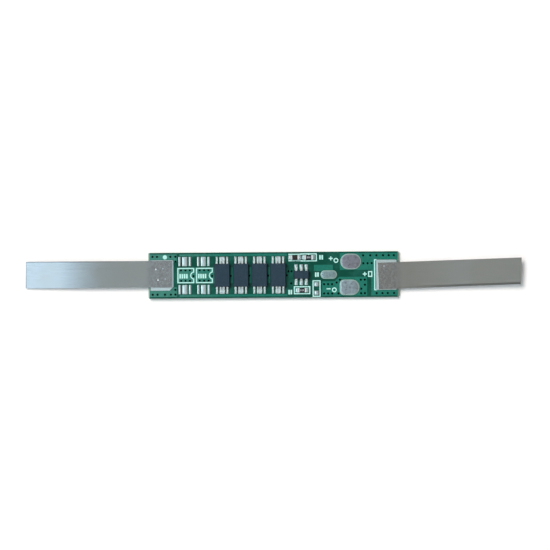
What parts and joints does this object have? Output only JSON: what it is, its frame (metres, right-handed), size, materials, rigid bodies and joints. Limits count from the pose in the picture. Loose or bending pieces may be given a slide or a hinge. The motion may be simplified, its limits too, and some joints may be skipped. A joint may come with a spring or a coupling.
{
  "type": "battery management board",
  "caption": "Narrow lithium cell protection board with a row of power transistors, a control chip, output lands and a nickel strip tab at each end.",
  "frame": {"origin": "centre of the board's underside", "axes": "+X along the board to the positive tab, +Y across the board, +Z from the underside to the component side"},
  "size_m": [0.0931, 0.0086, 0.0022],
  "materials": {
    "solder_mask": "satin",
    "tinned_lands": "satin",
    "output_lands": "satin",
    "epoxy": "matte",
    "lead_tin": "satin",
    "ceramic": "matte",
    "glaze": "satin",
    "capacitor_body": "matte",
    "nickel": "satin",
    "solder": "satin",
    "legend_ink": "matte"
  },
  "bodies": {
    "root": {"board": "solder_mask", "fet_lands": "tinned_lands", "control_lands": "tinned_lands", "chip_lands": "tinned_lands", "b_minus_land": "tinned_lands", "b_plus_land": "tinned_lands", "p_plus_land": "output_lands", "p_minus_land": "output_lands", "sense_land": "output_lands", "fet_1": "epoxy", "fet_2": "epoxy", "fet_3": "epoxy", "fet_4": "epoxy", "fet_leads_1": "lead_tin", "fet_leads_2": "lead_tin", "fet_leads_3": "lead_tin", "fet_leads_4": "lead_tin", "control_chip": "epoxy", "control_leads": "lead_tin", "resistor_1": "ceramic", "resistor_1_ends": "lead_tin", "resistor_1_glaze": "glaze", "resistor_2": "ceramic", "resistor_2_ends": "lead_tin", "resistor_2_glaze": "glaze", "capacitor": "capacitor_body", "capacitor_ends": "lead_tin", "tab_minus": "nickel", "tab_plus": "nickel", "tab_minus_solder": "solder", "tab_plus_solder": "solder", "fet_solder": "solder", "control_solder": "solder", "chip_solder": "solder", "legend": "legend_ink"}
  },
  "joints": []
}
